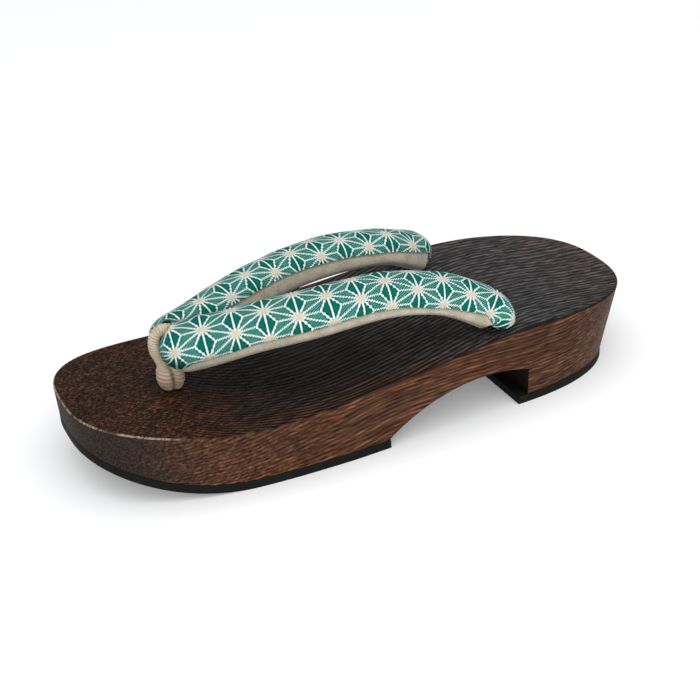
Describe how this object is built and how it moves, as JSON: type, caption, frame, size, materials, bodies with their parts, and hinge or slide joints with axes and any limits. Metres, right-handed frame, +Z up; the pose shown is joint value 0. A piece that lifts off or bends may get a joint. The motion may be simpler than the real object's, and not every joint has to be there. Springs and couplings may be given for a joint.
{
  "type": "geta sandal",
  "caption": "Low wooden geta sandal with a carved waist, rubber sole pads, padded V straps and a front thong.",
  "frame": {"origin": "on the floor under the middle of the wooden base, halfway between toe and heel", "axes": "+Y from the heel to the toe, +X to the wearer's right, +Z up"},
  "size_m": [0.0948, 0.2399, 0.0614],
  "materials": {
    "wood": "dark stained and brushed, semi-gloss",
    "rubber": "matte",
    "strap_cloth": "woven cotton with a printed star lattice, cream lining",
    "cord": "ribbed cotton cord"
  },
  "bodies": {
    "root": {"wooden_base": "wood", "forefoot_pad": "rubber", "heel_pad": "rubber", "strap_upper": "strap_cloth", "front_thong": "cord"}
  },
  "joints": []
}
